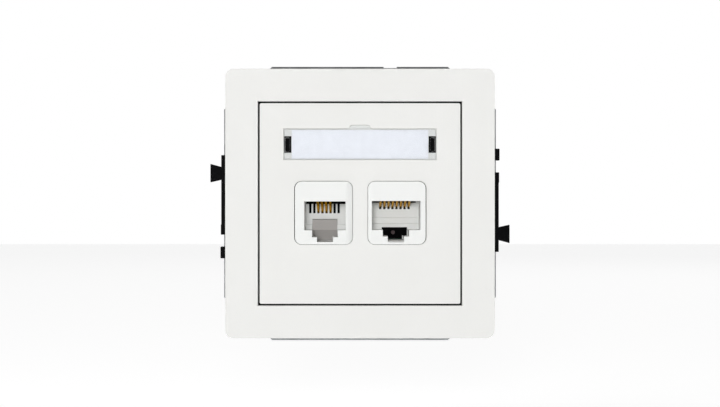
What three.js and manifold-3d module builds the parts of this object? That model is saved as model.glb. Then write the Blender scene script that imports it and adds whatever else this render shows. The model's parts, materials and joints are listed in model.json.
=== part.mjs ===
// Flush wall outlet with a telephone jack and a data jack, for a 60 mm installation box.
//
// Millimetres. Seen from the room, +X is right and +Z is up, and the front faces -Y. The origin is
// the centre of the steel support plate's back face, where the outlet seats on the wall.
// A range is [from, to]. Along Y it runs from front to back.

import * as THREE from "three";
import { mergeVertices } from "three/addons/utils/BufferGeometryUtils.js";
import Module from "manifold-3d";

const wasm = await Module();
wasm.setup();

// ---------------------------------------------------------------- driving dimensions

const FRONT = -10; // front face of the cover, 10 mm off the wall
const SKIN_BACK = -8; // the cover and the insert have 2 mm skins
const COVER_SIZE = 66;
const COVER_CORNER = 2;
const COVER_WALL = 2;
const COVER_BACK = -1.1; // the cover's rim rests on the plate
const OPENING_SIZE = 50;

const INSERT_SIZE = 49.1;
const JACK_HEIGHT = -2.31; // centre of both jacks
const JACK_WINDOW = [14.4, 15.6, 1.8]; // width, height and corner radius

const LABEL_HEIGHT = 14.5; // centre of the label
const LABEL_POCKET = [37.5, 7.7];
const LABEL_FLOOR = -8.8;
const WINDOW_TAB = [5.4, 1.8, 0.85]; // its room's width, height and corner radius
const LABEL_CARD = [33.5, 7.1, 0.26]; // width, height and thickness
const HOOK_SLOT = [16.86, 18.65, 4.07]; // near side, far side and height

const PLATE = [-1, 0];
const PLATE_HALF = [34, 34.2];
const PLATE_CHAMFER = [12, 10.7];
const EDGE_NOTCH = [5.9, 9.2]; // a shallow notch in the plate's top edge
const BOX_SCREW_RADIUS = 30; // 60 mm between opposite screws of the box
const BOX_SCREW_SLOT = [3.6, 9]; // width and length

const RIM_OUTSIDE = 25.7; // half widths of the carrier's square rim
const RIM_INSIDE = 23.9;
const RIM_FRONT = -7.8;
const CARRIER_BASE = [-3.1, -1.1];
const TUBE_SIDE = 17.7; // the tube round the jacks
const TUBE_HEIGHTS = [-13.8, 9.6];
const TUBE_WALL = 1.2;
const TUBE_DEPTH = [-6.8, 5.5];
const TUBE_LIP = 1.6;

const CARRIER_PEGS = [21.5, 19];
const CARRIER_PEG_RADIUS = 1.2;
const COUPLER_PEGS = [
  [-31.2, 11],
  [-31.2, -12.2],
];
const COUPLER_PEG_RADIUS = 0.9;
const PEG_PLAY = 0.2; // between a peg and its hole, in radius

const PIVOT = [4.4, 17]; // the claw's pivot, as (y, z)
const PIN_HOLE_RADIUS = 1;
const CLAW_SCREW_HEIGHT = 21;
const SCREW_RADIUS = 1.35;
const NUT_START = 5.65; // the nut's place along the screw with the claw folded
const NUT_TRAVEL = 2.5;
const TRUNNION_RADIUS = 0.8;
const CLAW_CHEEK = [3.6, 4.5];
const CLAW_EAR = [5, 6];
const CLAW_END = 24;

const HOUSING = [14.1, 15.4, 1.7]; // width, height and corner radius
const HOUSING_DEPTH = [-10.6, 6];
const CAVITY_BACK = 1.5;
const REAR_CHAMBER = 3; // front of the chamber behind the cavity's back wall
const CHAMBER_WIDTH = 12.4;
const CHAMBER_HEIGHTS = [-6.69, 7.01];
const CEILING = 5.21; // top of the pocket that the wires bend in
const WIRE_HEIGHT = 4.41;
const SLOTS = 8; // in each comb
const WIRE_PITCH = 1.02;
const WIRE_SECTION = [0.46, 0.42];
const BOARD = [6.7, 7.9];
const TERMINALS = [8.3, 16.5];
const TERMINAL_HALF = [6.6, 7.3];
const BLADE_ROW = 5.8;
const BLADE_PITCH = 3.2;
const SLIT_BOTTOM = 11; // of a blade's slit and of the slot that a conductor is pressed into
const SLOT_REACH = 6; // a conductor's slot, along its row's height

// What differs between the two jacks. The place is the jack's centre, and the rest is from there.
// The comb and the notch's window, both in the cavity's back wall, are a little off the opening's
// middle. A notch is the latch's way in: its width and floor, then the width and floor of its narrow
// lower part, which may end in a ramp at the front. The wall slot runs along the top of the back
// wall. A ledge is its top and how far it stands out of that wall.
const TELEPHONE = {
  prefix: "rj11",
  place: -8.87,
  windowPlace: -8.92, // the insert's window lets the jack stand off its middle
  shift: 0.3,
  wires: 4,
  opening: [10.07, -4.2, 2.81],
  wallSlot: [-4.74, 5.34],
  wallTop: 2.2,
  combShift: -0.08,
  combFloor: -0.15,
  wireEnd: 0.2,
  behindLatch: true, // a block fills the latch notch from behind
  notch: { middle: 0.3, width: 6.3, floor: -5.9, throatWidth: 3.9, throatFloor: -7.1, ramp: 0 },
  notchWindow: { middle: 0.02, top: -1.6 },
  ledges: [[-2.95, 1.6]],
  blades: 2,
};
const DATA = {
  prefix: "rj45",
  place: 9,
  windowPlace: 9.05,
  shift: -0.15,
  wires: 8,
  opening: [11.83, -4.15, 2.91],
  wallSlot: [-6.07, 5.1],
  wallTop: 2.49,
  combShift: -0.33,
  combFloor: 0.9,
  wireEnd: 1.4,
  behindLatch: false,
  notch: { middle: -0.21, width: 6.4, floor: -5.72, throatWidth: 3.95, throatFloor: -6.7, ramp: 0.5 },
  notchWindow: { middle: -0.37, top: -3.62 },
  ledges: [
    [-1.16, 0.8],
    [-2.65, 1.8],
  ],
  blades: 4,
};
const JACKS = [TELEPHONE, DATA];

// ---------------------------------------------------------------- finishes

const WHITE_PLASTIC = { color: 0xefefed, roughness: 0.42, metalness: 0 };
const JACK_WHITE = { color: 0xf2f2f0, roughness: 0.36, metalness: 0 };
const CLEAR_PLASTIC = { color: 0xeef2f6, roughness: 0.08, metalness: 0, transparent: true, opacity: 0.3 };
const PAPER = { color: 0xe8ecf7, roughness: 0.85, metalness: 0 };
const BLACK_PLASTIC = { color: 0x0b0b0c, roughness: 0.5, metalness: 0 };
const GREY_PLASTIC = { color: 0x97938f, roughness: 0.5, metalness: 0 };
const CAP_GREY = { color: 0xd9dbdb, roughness: 0.5, metalness: 0 };
const GALVANISED = { color: 0xa9aeb2, roughness: 0.38, metalness: 1 };
const SCREW_ZINC = { color: 0xc2c5c8, roughness: 0.26, metalness: 1 };
const GOLD = { color: 0xc79a3e, roughness: 0.2, metalness: 1 };
const TINNED = { color: 0xcfd0cc, roughness: 0.3, metalness: 1 };
const CIRCUIT_BOARD = { color: 0x1f5a35, roughness: 0.5, metalness: 0 };

// ---------------------------------------------------------------- solids

const ARC_STEPS = 3; // an arc in an outline becomes twice this many edges
const rodSides = (radius) => (radius < 0.6 ? 8 : 16);
const SIDES = [-1, 1];
const WELD = 0.2; // solids that are joined run at least this far into each other
const QUARTER_TURNS = [0, 1, 2, 3].map((count) => (count * Math.PI) / 2);

function solid(geometry) {
  const bare = geometry.index ? geometry.toNonIndexed() : geometry;
  bare.deleteAttribute("normal");
  bare.deleteAttribute("uv");
  const merged = mergeVertices(bare);
  return new wasm.Manifold(
    new wasm.Mesh({
      numProp: 3,
      vertProperties: merged.attributes.position.array,
      triVerts: new Uint32Array(merged.index.array),
    }),
  );
}

const join = (...bodies) => bodies.flat().reduce((whole, body) => whole.add(body));
const cut = (base, ...tools) => tools.flat().reduce((whole, tool) => whole.subtract(tool), base);

// Ranges: centred on zero, moved, grown past both ends, or mirrored to the side that a sign names.
const across = (width) => [-width / 2, width / 2];
const moved = ([from, to], step) => [from + step, to + step];
const past = ([from, to], more = 0.5) => [from - more, to + more];
const sided = ([near, far], side) => (side > 0 ? [near, far] : [-far, -near]);

// A box between three ranges, which may be turned about the outlet's front-to-back axis.
function block([left, right], [front, back], [bottom, top], turn = 0) {
  const geometry = new THREE.BoxGeometry(right - left, back - front, top - bottom);
  geometry.translate((left + right) / 2, (front + back) / 2, (bottom + top) / 2);
  return solid(geometry.rotateY(turn));
}

function rodAlongY(radius, x, z, [front, back]) {
  const geometry = new THREE.CylinderGeometry(radius, radius, back - front, rodSides(radius));
  return solid(geometry.translate(x, (front + back) / 2, z));
}

function rodAlongX(radius, [y, z], [left, right]) {
  const geometry = new THREE.CylinderGeometry(radius, radius, right - left, rodSides(radius));
  return solid(geometry.rotateZ(Math.PI / 2).translate((left + right) / 2, y, z));
}

function extruded(shape, length) {
  const corners = shape.getPoints(ARC_STEPS);
  const apart = corners.filter((corner, index) => corner.distanceTo(corners.at(index - 1)) > 0.001);
  return new THREE.ExtrudeGeometry(new THREE.Shape(apart), { depth: length, bevelEnabled: false });
}

// An outline in (x, z), given thickness along Y.
function alongY(shape, [front, back]) {
  const geometry = extruded(shape, back - front).rotateX(Math.PI / 2);
  return solid(geometry.translate(0, back, 0));
}

// An outline in (x, y), given thickness along Z.
function alongZ(shape, [bottom, top]) {
  return solid(extruded(shape, top - bottom).translate(0, 0, bottom));
}

// An outline in (y, z), given thickness along X.
function alongX(shape, [left, right]) {
  const turned = new THREE.Matrix4().makeBasis(
    new THREE.Vector3(0, 1, 0),
    new THREE.Vector3(0, 0, 1),
    new THREE.Vector3(1, 0, 0),
  );
  return solid(extruded(shape, right - left).applyMatrix4(turned).translate(left, 0, 0));
}

const polygon = (...corners) => new THREE.Shape(corners.map(([u, v]) => new THREE.Vector2(u, v)));

function roundedRectangle([width, height, radius], x = 0, z = 0) {
  const [left, right] = moved(across(width - 2 * radius), x);
  const [bottom, top] = moved(across(height - 2 * radius), z);
  const shape = new THREE.Shape();
  shape.absarc(right, top, radius, 0, Math.PI / 2);
  shape.absarc(left, top, radius, Math.PI / 2, Math.PI);
  shape.absarc(left, bottom, radius, Math.PI, 1.5 * Math.PI);
  shape.absarc(right, bottom, radius, 1.5 * Math.PI, 2 * Math.PI);
  return shape;
}

// A slot with round ends from one point to another.
function stadium([u1, v1], [u2, v2], radius) {
  const heading = Math.atan2(v2 - v1, u2 - u1);
  const shape = new THREE.Shape();
  shape.absarc(u2, v2, radius, heading - Math.PI / 2, heading + Math.PI / 2);
  shape.absarc(u1, v1, radius, heading + Math.PI / 2, heading + 1.5 * Math.PI);
  return shape;
}

// A slot with round ends, bent along a circle round the origin.
function kidney(radius, [width, length], middle) {
  const half = width / 2;
  const [start, end] = moved(across((length - width) / radius), middle);
  const shape = new THREE.Shape();
  shape.absarc(0, 0, radius + half, start, end);
  shape.absarc(radius * Math.cos(end), radius * Math.sin(end), half, end, end + Math.PI);
  shape.absarc(0, 0, radius - half, end, start, true);
  shape.absarc(radius * Math.cos(start), radius * Math.sin(start), half, start - Math.PI, start);
  return shape;
}

function piece(name, body, finish) {
  const { vertProperties, triVerts } = body.getMesh();
  const geometry = new THREE.BufferGeometry();
  geometry.setAttribute("position", new THREE.BufferAttribute(vertProperties, 3));
  geometry.setIndex(new THREE.BufferAttribute(triVerts, 1));
  geometry.computeVertexNormals();
  const mesh = new THREE.Mesh(geometry, new THREE.MeshStandardMaterial(finish));
  mesh.name = name;
  return mesh;
}

// ---------------------------------------------------------------- cover frame

// A square shell with a square opening. Two legs on each side grip the outside of the carrier's
// rim, and short ribs stiffen the walls. The side walls are notched for the couplers.
function outerFrame() {
  const inside = COVER_SIZE - 2 * COVER_WALL;
  const shell = cut(
    alongY(roundedRectangle([COVER_SIZE, COVER_SIZE, COVER_CORNER]), [FRONT, COVER_BACK]),
    alongY(roundedRectangle([inside, inside, COVER_CORNER / 2]), [SKIN_BACK, 0]),
    block(across(OPENING_SIZE), past([FRONT, SKIN_BACK]), across(OPENING_SIZE)),
  );
  const legWidth = 5;
  const legPlace = 15;
  const legThickness = [RIM_OUTSIDE + 0.3, RIM_OUTSIDE + 1.5];
  const legDepth = [SKIN_BACK - WELD, -2.5];
  const ribWidth = 0.8;
  const ribPlaces = [8, 21];
  const ribSpan = [legThickness[1] + 0.4, inside / 2 + WELD];
  const ribDepth = [SKIN_BACK - WELD, -5];
  const added = [];
  for (const turn of QUARTER_TURNS) {
    for (const side of SIDES) {
      added.push(block(legThickness, legDepth, moved(across(legWidth), side * legPlace), turn));
      for (const place of ribPlaces) {
        added.push(block(ribSpan, ribDepth, moved(across(ribWidth), side * place), turn));
      }
    }
  }
  const notchSpan = [COVER_SIZE / 2 - 2.5, COVER_SIZE / 2 + 0.5];
  const notchHeights = [-12.4, 13.9];
  const couplerNotches = SIDES.map((side) =>
    block(sided(notchSpan, side), [-3.7, 0], sided(notchHeights, side)),
  );
  return cut(join(shell, added), couplerNotches);
}

// ---------------------------------------------------------------- centre insert and label

// The centre plate, with the jack windows, and the label pocket with room for a tab. A skirt stiffens
// its back, and four legs snap inside the carrier's rim.
function centreInsert() {
  const plate = alongY(roundedRectangle([INSERT_SIZE, INSERT_SIZE, 0.4]), [FRONT, SKIN_BACK]);
  const through = past([FRONT, SKIN_BACK]);
  const [skirtInside, skirtOutside] = [43.6, 46.4];
  const skirt = cut(
    block(across(skirtOutside), [SKIN_BACK - WELD, -5.2], across(skirtOutside)),
    block(across(skirtInside), [FRONT, 0], across(skirtInside)),
  );
  const legThickness = [22.4, 23.7];
  const legDepth = [SKIN_BACK - WELD, -3.3];
  const legWidth = 4;
  const legPlace = 14;
  const legs = SIDES.flatMap((right) =>
    SIDES.map((up) => block(sided(legThickness, right), legDepth, moved(across(legWidth), up * legPlace))),
  );
  const windows = JACKS.map(({ windowPlace }) =>
    alongY(roundedRectangle(JACK_WINDOW, windowPlace, JACK_HEIGHT), through),
  );
  const [pocketWidth, pocketHeight] = LABEL_POCKET;
  const pocketDepth = [through[0], LABEL_FLOOR];
  const pocket = block(across(pocketWidth), pocketDepth, moved(across(pocketHeight), LABEL_HEIGHT));
  const tabRoom = alongY(
    roundedRectangle(WINDOW_TAB, 0, LABEL_HEIGHT + pocketHeight / 2),
    [through[0], FRONT + 0.8],
  );
  const [slotNear, slotFar, slotHeight] = HOOK_SLOT;
  const hookSlots = SIDES.map((side) =>
    block(sided([slotNear, slotFar], side), through, moved(across(slotHeight), LABEL_HEIGHT)),
  );
  return cut(join(plate, skirt, legs), windows, pocket, tabRoom, hookSlots);
}

function labelCard() {
  const [width, height, thickness] = LABEL_CARD;
  const back = LABEL_FLOOR - 0.06;
  return block(across(width), [back - thickness, back], moved(across(height), LABEL_HEIGHT));
}

// The window's ends stand on the pocket's floor beside the card, its hooks go through the slots, and
// the tab on its upper edge is for a fingernail.
function labelWindow() {
  const [width, height] = LABEL_POCKET.map((size) => size - 0.3);
  const tabOutline = WINDOW_TAB.map((size) => size - 0.3);
  const paneDepth = [FRONT + 0.05, FRONT + 0.75];
  const behindPane = paneDepth[1] - 0.15;
  const pane = alongY(roundedRectangle([width, height, 0.3], 0, LABEL_HEIGHT), paneDepth);
  const tab = alongY(roundedRectangle(tabOutline, 0, LABEL_HEIGHT + LABEL_POCKET[1] / 2), paneDepth);
  const [footNear, hookNear, outside] = [17, 17.25, 18.5];
  const footHeights = moved(across(height - 0.2), LABEL_HEIGHT);
  const hookHeights = moved(across(HOOK_SLOT[2] - 0.57), LABEL_HEIGHT);
  const feet = SIDES.map((side) =>
    block(sided([footNear, outside], side), [behindPane, LABEL_FLOOR - 0.05], footHeights),
  );
  const hooks = SIDES.map((side) =>
    block(sided([hookNear, outside], side), [behindPane, -6.6], hookHeights),
  );
  return join(pane, tab, feet, hooks);
}

// ---------------------------------------------------------------- steel support plate

// Pressed steel. Two pairs of ears are bent back out of it to hold the claws' pivot pins, and leave
// a window beside each ear. The box's screws go through the bent slots on the four sides.
function supportPlate() {
  const [side, end] = PLATE_HALF;
  const [chamferX, chamferZ] = PLATE_CHAMFER;
  const sheet = polygon(
    [side, chamferZ - end],
    [side, end - chamferZ],
    [side - chamferX, end],
    [chamferX - side, end],
    [-side, end - chamferZ],
    [-side, chamferZ - end],
    [chamferX - side, -end],
    [side - chamferX, -end],
  );
  const through = past(PLATE);
  const [pivotY, pivotZ] = PIVOT;
  const earRadius = 2;
  const earRoot = (PLATE[0] + PLATE[1]) / 2;
  const earWindow = [CLAW_EAR[1] + 0.1, CLAW_EAR[1] + 6.1];
  const ears = [];
  const holes = [
    block(past(across(2 * TUBE_SIDE), 0.4), through, past(TUBE_HEIGHTS, 0.4)),
    block(EDGE_NOTCH, through, [end - 0.3, end + 1]),
  ];
  for (const up of SIDES) {
    const ear = new THREE.Shape();
    ear.moveTo(earRoot, up * pivotZ - earRadius);
    ear.absarc(pivotY, up * pivotZ, earRadius, -Math.PI / 2, Math.PI / 2);
    ear.lineTo(earRoot, up * pivotZ + earRadius);
    holes.push(rodAlongX(PIN_HOLE_RADIUS, [pivotY, up * pivotZ], past(across(2 * CLAW_EAR[1]))));
    holes.push(rodAlongY(SCREW_RADIUS + 0.4, 0, up * CLAW_SCREW_HEIGHT, through));
    for (const right of SIDES) {
      const [pegX, pegZ] = [right * CARRIER_PEGS[0], up * CARRIER_PEGS[1]];
      const beside = [pivotZ - earRadius, pivotZ + earRadius];
      ears.push(alongX(ear, sided(CLAW_EAR, right)));
      holes.push(block(sided(earWindow, right), through, sided(beside, up)));
      holes.push(rodAlongY(CARRIER_PEG_RADIUS + PEG_PLAY, pegX, pegZ, through));
    }
    for (const [x, z] of COUPLER_PEGS) {
      holes.push(rodAlongY(COUPLER_PEG_RADIUS + PEG_PLAY, up * x, up * z, through));
    }
  }
  for (const middle of QUARTER_TURNS) {
    holes.push(alongY(kidney(BOX_SCREW_RADIUS, BOX_SCREW_SLOT, middle), through));
  }
  return cut(join(alongY(sheet, PLATE), ears), holes);
}

// ---------------------------------------------------------------- module carrier

// A square rim behind the gap between cover and insert, a base on the steel plate, and a tube with
// a front lip that the jacks snap into. A rib parts the tube, and pegs locate the carrier.
function moduleCarrier() {
  const [lipFront, tubeBack] = TUBE_DEPTH;
  const rim = alongY(roundedRectangle([2 * RIM_OUTSIDE, 2 * RIM_OUTSIDE, 1]), [RIM_FRONT, CARRIER_BASE[1]]);
  const hollow = block(across(2 * RIM_INSIDE), [RIM_FRONT - 0.5, CARRIER_BASE[0]], across(2 * RIM_INSIDE));
  const tube = block(across(2 * TUBE_SIDE), TUBE_DEPTH, TUBE_HEIGHTS);
  const halfRib = 0.9; // of the rib between the two chambers
  const headRoom = 3.3; // radius of the hole that a claw screw's head turns in
  const pegs = [];
  const tools = JACKS.map(({ place }) => {
    const jackHole = roundedRectangle(JACK_WINDOW, place, JACK_HEIGHT);
    return alongY(jackHole, [lipFront - 1, lipFront + TUBE_LIP + 0.5]);
  });
  for (const right of SIDES) {
    const chamber = sided([halfRib, TUBE_SIDE - TUBE_WALL], right);
    tools.push(block(chamber, [lipFront + TUBE_LIP, tubeBack + 1], past(TUBE_HEIGHTS, -TUBE_WALL)));
    tools.push(rodAlongY(headRoom, 0, right * CLAW_SCREW_HEIGHT, past(CARRIER_BASE)));
    for (const up of SIDES) {
      const [x, z] = [right * CARRIER_PEGS[0], up * CARRIER_PEGS[1]];
      pegs.push(rodAlongY(CARRIER_PEG_RADIUS, x, z, [CARRIER_BASE[1] - 0.5, 0]));
    }
  }
  return cut(join(cut(rim, hollow), tube, pegs), tools);
}

// ---------------------------------------------------------------- couplers

// The left coupler: a strip under the cover's side wall, pegged to the plate, with a rail outside
// it that carries a dovetail. Below the rail is the socket for a neighbour's dovetail.
function coupler() {
  const rail = [-34.53, -33.3];
  const socketSide = [-34.73, rail[1]]; // the rail is wider beside the socket
  const frontLayer = [-3.4, -2.2];
  const rearLayer = [-2.3, -1.1];
  const strip = [-32.8, -29.6];
  const lip = [rail[1] - 0.1, strip[0] + 0.1];
  const heights = [-13.65, 12.05];
  const foot = [heights[0], -10.75];
  const socketTop = -5.3; // of the socket's front layer, which takes the dovetail
  const railBottom = -7.78;
  const upper = [socketTop, heights[1]];
  const besidePlate = -34.2;
  const dovetail = polygon([-34.5, 9.13], [-37.22, 9.87], [-37.22, 5.28], [-34.5, 5.89]);
  const body = join(
    block(rail, [frontLayer[0], rearLayer[1]], upper),
    alongY(dovetail, frontLayer),
    block(socketSide, [frontLayer[0], rearLayer[1]], foot),
    block(socketSide, rearLayer, [railBottom, socketTop + 0.1]),
    block([rail[0], besidePlate], [rearLayer[0], 0], [railBottom, heights[1]]),
    block([socketSide[0], besidePlate], [rearLayer[0], 0], foot),
    block(lip, rearLayer, upper),
    block(lip, rearLayer, foot),
    block(strip, rearLayer, heights),
    COUPLER_PEGS.map(([x, z]) => rodAlongY(COUPLER_PEG_RADIUS, x, z, [rearLayer[0], 0])),
  );
  const boxScrewRoom = block([-32.1, strip[1] + 1], past(rearLayer), across(10.4));
  return cut(body, boxScrewRoom);
}

// ---------------------------------------------------------------- claws

const trunnion = [NUT_START, CLAW_SCREW_HEIGHT];

// The point at a distance from the pivot, towards the nut's trunnion.
function towardsTrunnion(distance) {
  const angle = Math.atan2(trunnion[1] - PIVOT[1], trunnion[0] - PIVOT[0]);
  return [PIVOT[0] + distance * Math.cos(angle), PIVOT[1] + distance * Math.sin(angle)];
}

// Two cheeks joined by a web, with teeth on the outside of its end. Each cheek pivots on the pin,
// and its lobe has a slot for the nut's trunnion, long enough for the trunnion's straight path.
function claw() {
  const [pivotY, pivotZ] = PIVOT;
  const outside = pivotZ + 1.6;
  const webStart = 12;
  const webThickness = 0.9;
  const lobeRadius = 2;
  const slotPlay = 0.15;
  const reach = trunnion[1] - pivotZ;
  const slotStart = towardsTrunnion(reach - 0.1);
  const slotEnd = towardsTrunnion(Math.hypot(reach, NUT_TRAVEL / 2) + 0.1);
  const leg = polygon(
    [pivotY, pivotZ - lobeRadius],
    [webStart, pivotZ - 1.6],
    [CLAW_END, pivotZ - 0.4],
    [CLAW_END, outside],
    [pivotY, outside],
  );
  const cheeks = SIDES.flatMap((side) => {
    const thickness = sided(CLAW_CHEEK, side);
    return [
      alongX(leg, thickness),
      alongX(stadium(PIVOT, slotEnd, lobeRadius), thickness),
      rodAlongX(lobeRadius + 0.2, PIVOT, thickness),
    ];
  });
  const width = across(2 * CLAW_CHEEK[1]);
  const web = block(width, [webStart, CLAW_END], [outside - webThickness, outside]);
  const toothPitch = 2;
  const toothHeight = 1.6;
  const root = outside - 0.1;
  const teeth = [3, 2, 1].map((count) => {
    const start = CLAW_END - count * toothPitch;
    const tip = [start + 0.4, outside + toothHeight];
    return alongX(polygon([start, root], tip, [start + toothPitch, root]), width);
  });
  return cut(
    join(web, cheeks, teeth),
    rodAlongX(PIN_HOLE_RADIUS, PIVOT, past(width)),
    alongX(stadium(slotStart, slotEnd, TRUNNION_RADIUS + slotPlay), past(width)),
  );
}

const clawPin = () => rodAlongX(PIN_HOLE_RADIUS - 0.12, PIVOT, past(across(2 * CLAW_EAR[1])));

// A pan-head screw with a cross recess, turned about its own axis.
function clawScrew() {
  const [headFront, headBack, tip] = [-3.1, -1.1, 8];
  const headRadius = 2.6;
  const profile = [
    [0, headFront],
    [headRadius - 0.5, headFront],
    [headRadius, headFront + 0.45],
    [headRadius, headBack],
    [SCREW_RADIUS, headBack],
    [SCREW_RADIUS, tip - 0.4],
    [SCREW_RADIUS - 0.35, tip],
    [0, tip],
  ];
  const turned = new THREE.LatheGeometry(
    profile.map(([radius, y]) => new THREE.Vector2(radius, y)),
    rodSides(SCREW_RADIUS),
  );
  const recess = [headFront - 0.5, headFront + 1.1];
  const [recessLength, recessWidth] = [3.4, 0.9];
  return cut(
    solid(turned.translate(0, 0, CLAW_SCREW_HEIGHT)),
    block(across(recessLength), recess, moved(across(recessWidth), CLAW_SCREW_HEIGHT)),
    block(across(recessWidth), recess, moved(across(recessLength), CLAW_SCREW_HEIGHT)),
  );
}

function clawNut() {
  const [width, depth, height] = [6.6, 2.6, 3.8];
  const thickness = moved(across(depth), NUT_START);
  const body = block(across(width), thickness, moved(across(height), CLAW_SCREW_HEIGHT));
  const hole = rodAlongY(SCREW_RADIUS + 0.15, 0, CLAW_SCREW_HEIGHT, past(thickness));
  const trunnionSpan = [width / 2 - 0.1, CLAW_CHEEK[1] + WELD];
  const trunnions = SIDES.map((side) => rodAlongX(TRUNNION_RADIUS, trunnion, sided(trunnionSpan, side)));
  return cut(join(body, trunnions), hole);
}

// ---------------------------------------------------------------- jacks

function slotPlaces(combShift) {
  return [...Array(SLOTS).keys()].map((index) => combShift + (index - (SLOTS - 1) / 2) * WIRE_PITCH);
}

// The places of a jack's wires: the middle ones of the eight slots.
function wirePlaces({ wires, combShift }) {
  const unused = (SLOTS - wires) / 2;
  return slotPlaces(combShift).slice(unused, SLOTS - unused);
}

// The housing: the plug's cavity with the latch notch below it, a comb in its back wall for the
// wires, a pocket above it that they bend in, and a chamber behind. A fixed lug below and a springy
// arm above hold it in the carrier.
function housing(jack) {
  const { shift, opening, notch, notchWindow, wallSlot, wallTop, combShift, combFloor, ledges } = jack;
  const [openingWidth, openingBottom, openingTop] = opening;
  const [front, back] = HOUSING_DEPTH;
  const edge = HOUSING[1] / 2 - 0.1;
  const armTip = 9.91;
  const arm = polygon(
    [1.8, edge],
    [-3.9, armTip],
    [-4.8, armTip],
    [-4.8, armTip - 0.9],
    [-4, armTip - 0.9],
    [0.2, edge],
  );
  const outside = join(
    alongY(roundedRectangle(HOUSING), HOUSING_DEPTH),
    block(across(10), [-4.9, -3.4], [-9.79, -edge]),
    alongX(arm, across(7)),
  );
  const width = (size) => moved(across(size), shift);
  const combSlotWidth = 0.6;
  const pocket = [-8, CAVITY_BACK]; // the pocket that the wires bend in
  const notchSides = moved(across(notch.width), notch.middle);
  const throatSides = moved(across(notch.throatWidth), notch.middle);
  const notchHeights = [notch.floor, openingBottom + 0.1];
  const throatHeights = [notch.throatFloor, notch.floor + 0.1];
  const depth = [front - 0.5, CAVITY_BACK];
  const ramp = polygon(
    [depth[0], throatHeights[1]],
    [depth[0], notch.throatFloor - notch.ramp],
    [front, notch.throatFloor - notch.ramp],
    [front + 0.9, notch.throatFloor],
    [front + 0.9, throatHeights[1]],
  );
  const backWall = past([CAVITY_BACK, REAR_CHAMBER], 0.1);
  const cavity = join(
    block(width(openingWidth), depth, [openingBottom, openingTop]),
    block(notchSides, depth, notchHeights),
    block(throatSides, depth, throatHeights),
    alongX(ramp, throatSides),
    block(width(9.2), pocket, [openingTop - 0.1, CEILING]),
  );
  const steps = ledges.map(([top, proud]) =>
    block(width(openingWidth + 0.2), [CAVITY_BACK - proud, REAR_CHAMBER], [openingBottom - 0.1, top]),
  );
  const windowDepth = [CAVITY_BACK - 3, backWall[1]];
  const besideMiddle = notchWindow.middle - notch.middle;
  const openings = [
    block(wallSlot, backWall, [wallTop, CEILING]),
    slotPlaces(combShift).map((x) => block(moved(across(combSlotWidth), x), backWall, [combFloor, CEILING])),
    block(moved(notchSides, besideMiddle), windowDepth, [notch.floor, notchWindow.top]),
    block(moved(throatSides, besideMiddle), windowDepth, throatHeights),
    block(across(CHAMBER_WIDTH), [REAR_CHAMBER, back + 0.5], CHAMBER_HEIGHTS),
  ].flat();
  return cut(outside, cut(cavity, steps), openings);
}

// The wires' holder, with a slot that they all pass through, and room for a latch block below it.
function contactBlock({ notch, notchWindow, behindLatch }) {
  const play = 0.2;
  const depth = [REAR_CHAMBER + play, BOARD[0] - 0.3];
  const body = block(across(CHAMBER_WIDTH - 2 * play), depth, past(CHAMBER_HEIGHTS, -play));
  const slot = block(across(8.6), past(depth), past([WIRE_HEIGHT, WIRE_HEIGHT], 0.4));
  if (!behindLatch) {
    return cut(body, slot);
  }
  const latchSides = past(moved(across(notch.width), notchWindow.middle), 0.25);
  const latchHeights = [CHAMBER_HEIGHTS[0] - 0.5, notchWindow.top + play];
  return cut(body, slot, block(latchSides, past(depth), latchHeights));
}

// The block that fills the telephone jack's latch notch from behind. Its face leans back below.
function latchBlock({ notch, notchWindow }) {
  const gap = 0.04;
  const [face, back] = [0.4, 6.2];
  const top = notchWindow.top - 0.1;
  const lean = -4.3;
  const floor = notch.throatFloor + 0.1;
  const rearFloor = CHAMBER_HEIGHTS[0] + 0.2;
  const side = polygon(
    [face, top],
    [face, lean],
    [face + 2.2, floor],
    [REAR_CHAMBER - 0.1, floor],
    [REAR_CHAMBER - 0.1, rearFloor],
    [back, rearFloor],
    [back, top],
  );
  const filling = (size) => alongX(side, moved(across(size - 2 * gap), notchWindow.middle));
  const belowNotch = block(past(across(notch.width)), [0, back + 1], [floor - 1, notch.floor + gap]);
  return join(filling(notch.throatWidth), cut(filling(notch.width), belowNotch));
}

// A spring wire: straight through the board and the ceiling pocket, round a bend at the front, and
// back down into the comb. It is an outline in (y, z) of two parallel sides.
function springWire({ wireEnd }, x) {
  const [width, thickness] = WIRE_SECTION;
  const bend = 0.75; // radius of the bend at the front
  const centre = [-5.6, WIRE_HEIGHT - bend];
  const end = [CAVITY_BACK + 0.7, wireEnd];
  const tail = BOARD[1] + 0.2;
  const toEnd = Math.atan2(end[1] - centre[1], end[0] - centre[0]);
  const heading = toEnd + Math.asin(bend / Math.hypot(end[0] - centre[0], end[1] - centre[1]));
  const stop = heading + 1.5 * Math.PI;
  const outer = bend + thickness / 2;
  const inner = bend - thickness / 2;
  const beside = (offset) => [end[0] + offset * Math.cos(stop), end[1] + offset * Math.sin(stop)];
  const shape = new THREE.Shape();
  shape.moveTo(tail, WIRE_HEIGHT + thickness / 2);
  shape.absarc(...centre, outer, Math.PI / 2, stop);
  shape.lineTo(...beside(thickness / 2));
  shape.lineTo(...beside(-thickness / 2));
  shape.absarc(...centre, inner, stop, Math.PI / 2, true);
  shape.lineTo(tail, WIRE_HEIGHT - thickness / 2);
  return alongX(shape, moved(across(width), x));
}

// The places of a jack's terminal blades, as (x, z).
function bladePlaces({ blades }) {
  const columns = [...Array(blades).keys()].map((index) => (index - (blades - 1) / 2) * BLADE_PITCH);
  return SIDES.flatMap((up) => columns.map((x) => [x, up * BLADE_ROW]));
}

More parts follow.
